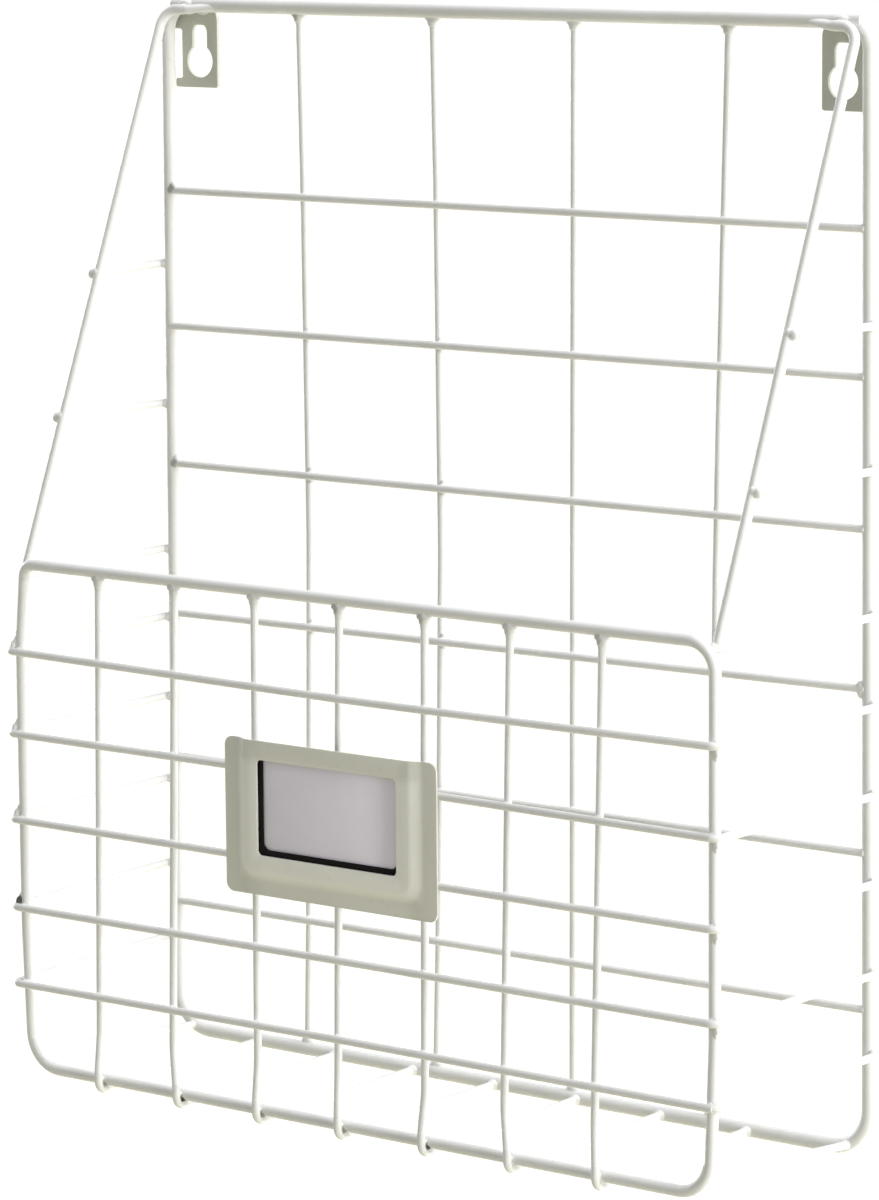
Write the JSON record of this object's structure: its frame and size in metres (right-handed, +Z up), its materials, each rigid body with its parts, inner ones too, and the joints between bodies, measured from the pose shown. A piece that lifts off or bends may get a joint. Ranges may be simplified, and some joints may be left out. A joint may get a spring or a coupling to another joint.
{
  "type": "wall magazine rack",
  "caption": "White welded wire rack that hangs on a wall by keyhole tabs, with a deep magazine basket, sloping side stays and a framed label whose card slides out.",
  "frame": {"origin": "on the wall plane, midway between the two screws that the rack hangs on", "axes": "+X right as seen from the room, +Y into the wall, +Z up"},
  "size_m": [0.3456, 0.1096, 0.4215],
  "materials": {
    "powder_coat": "satin white powder coat on steel wire",
    "label_enamel": "glossy white enamel on pressed steel sheet",
    "carrier_black": "matt black plastic",
    "card": "uncoated pale grey card"
  },
  "bodies": {
    "rack": {"back_frame": "powder_coat", "back_upright_1": "powder_coat", "back_upright_2": "powder_coat", "back_upright_3": "powder_coat", "back_upright_4": "powder_coat", "back_cross_1": "powder_coat", "back_cross_2": "powder_coat", "back_cross_3": "powder_coat", "back_cross_4": "powder_coat", "back_cross_5": "powder_coat", "back_cross_6": "powder_coat", "hanging_tab_left": "powder_coat", "hanging_tab_right": "powder_coat", "front_frame": "powder_coat", "stay_left": "powder_coat", "stay_right": "powder_coat", "basket_wire_1": "powder_coat", "basket_wire_2": "powder_coat", "basket_wire_3": "powder_coat", "basket_wire_4": "powder_coat", "basket_wire_5": "powder_coat", "basket_wire_6": "powder_coat", "basket_wire_7": "powder_coat", "wrap_wire_1": "powder_coat", "wrap_wire_2": "powder_coat", "wrap_wire_3": "powder_coat", "wrap_wire_4": "powder_coat", "wrap_wire_5": "powder_coat", "side_wire_left_1": "powder_coat", "side_wire_left_2": "powder_coat", "side_wire_left_3": "powder_coat", "side_wire_right_1": "powder_coat", "side_wire_right_2": "powder_coat", "side_wire_right_3": "powder_coat", "foot_wire_left": "powder_coat", "foot_wire_right": "powder_coat", "label_bezel": "label_enamel", "label_carrier": "carrier_black"},
    "card": {"label_card": "card"}
  },
  "joints": [
    {"name": "card_slide", "type": "slide", "parent": "rack", "child": "card", "axis": [0, 0, 1], "range_m": [0, 0.045]}
  ]
}
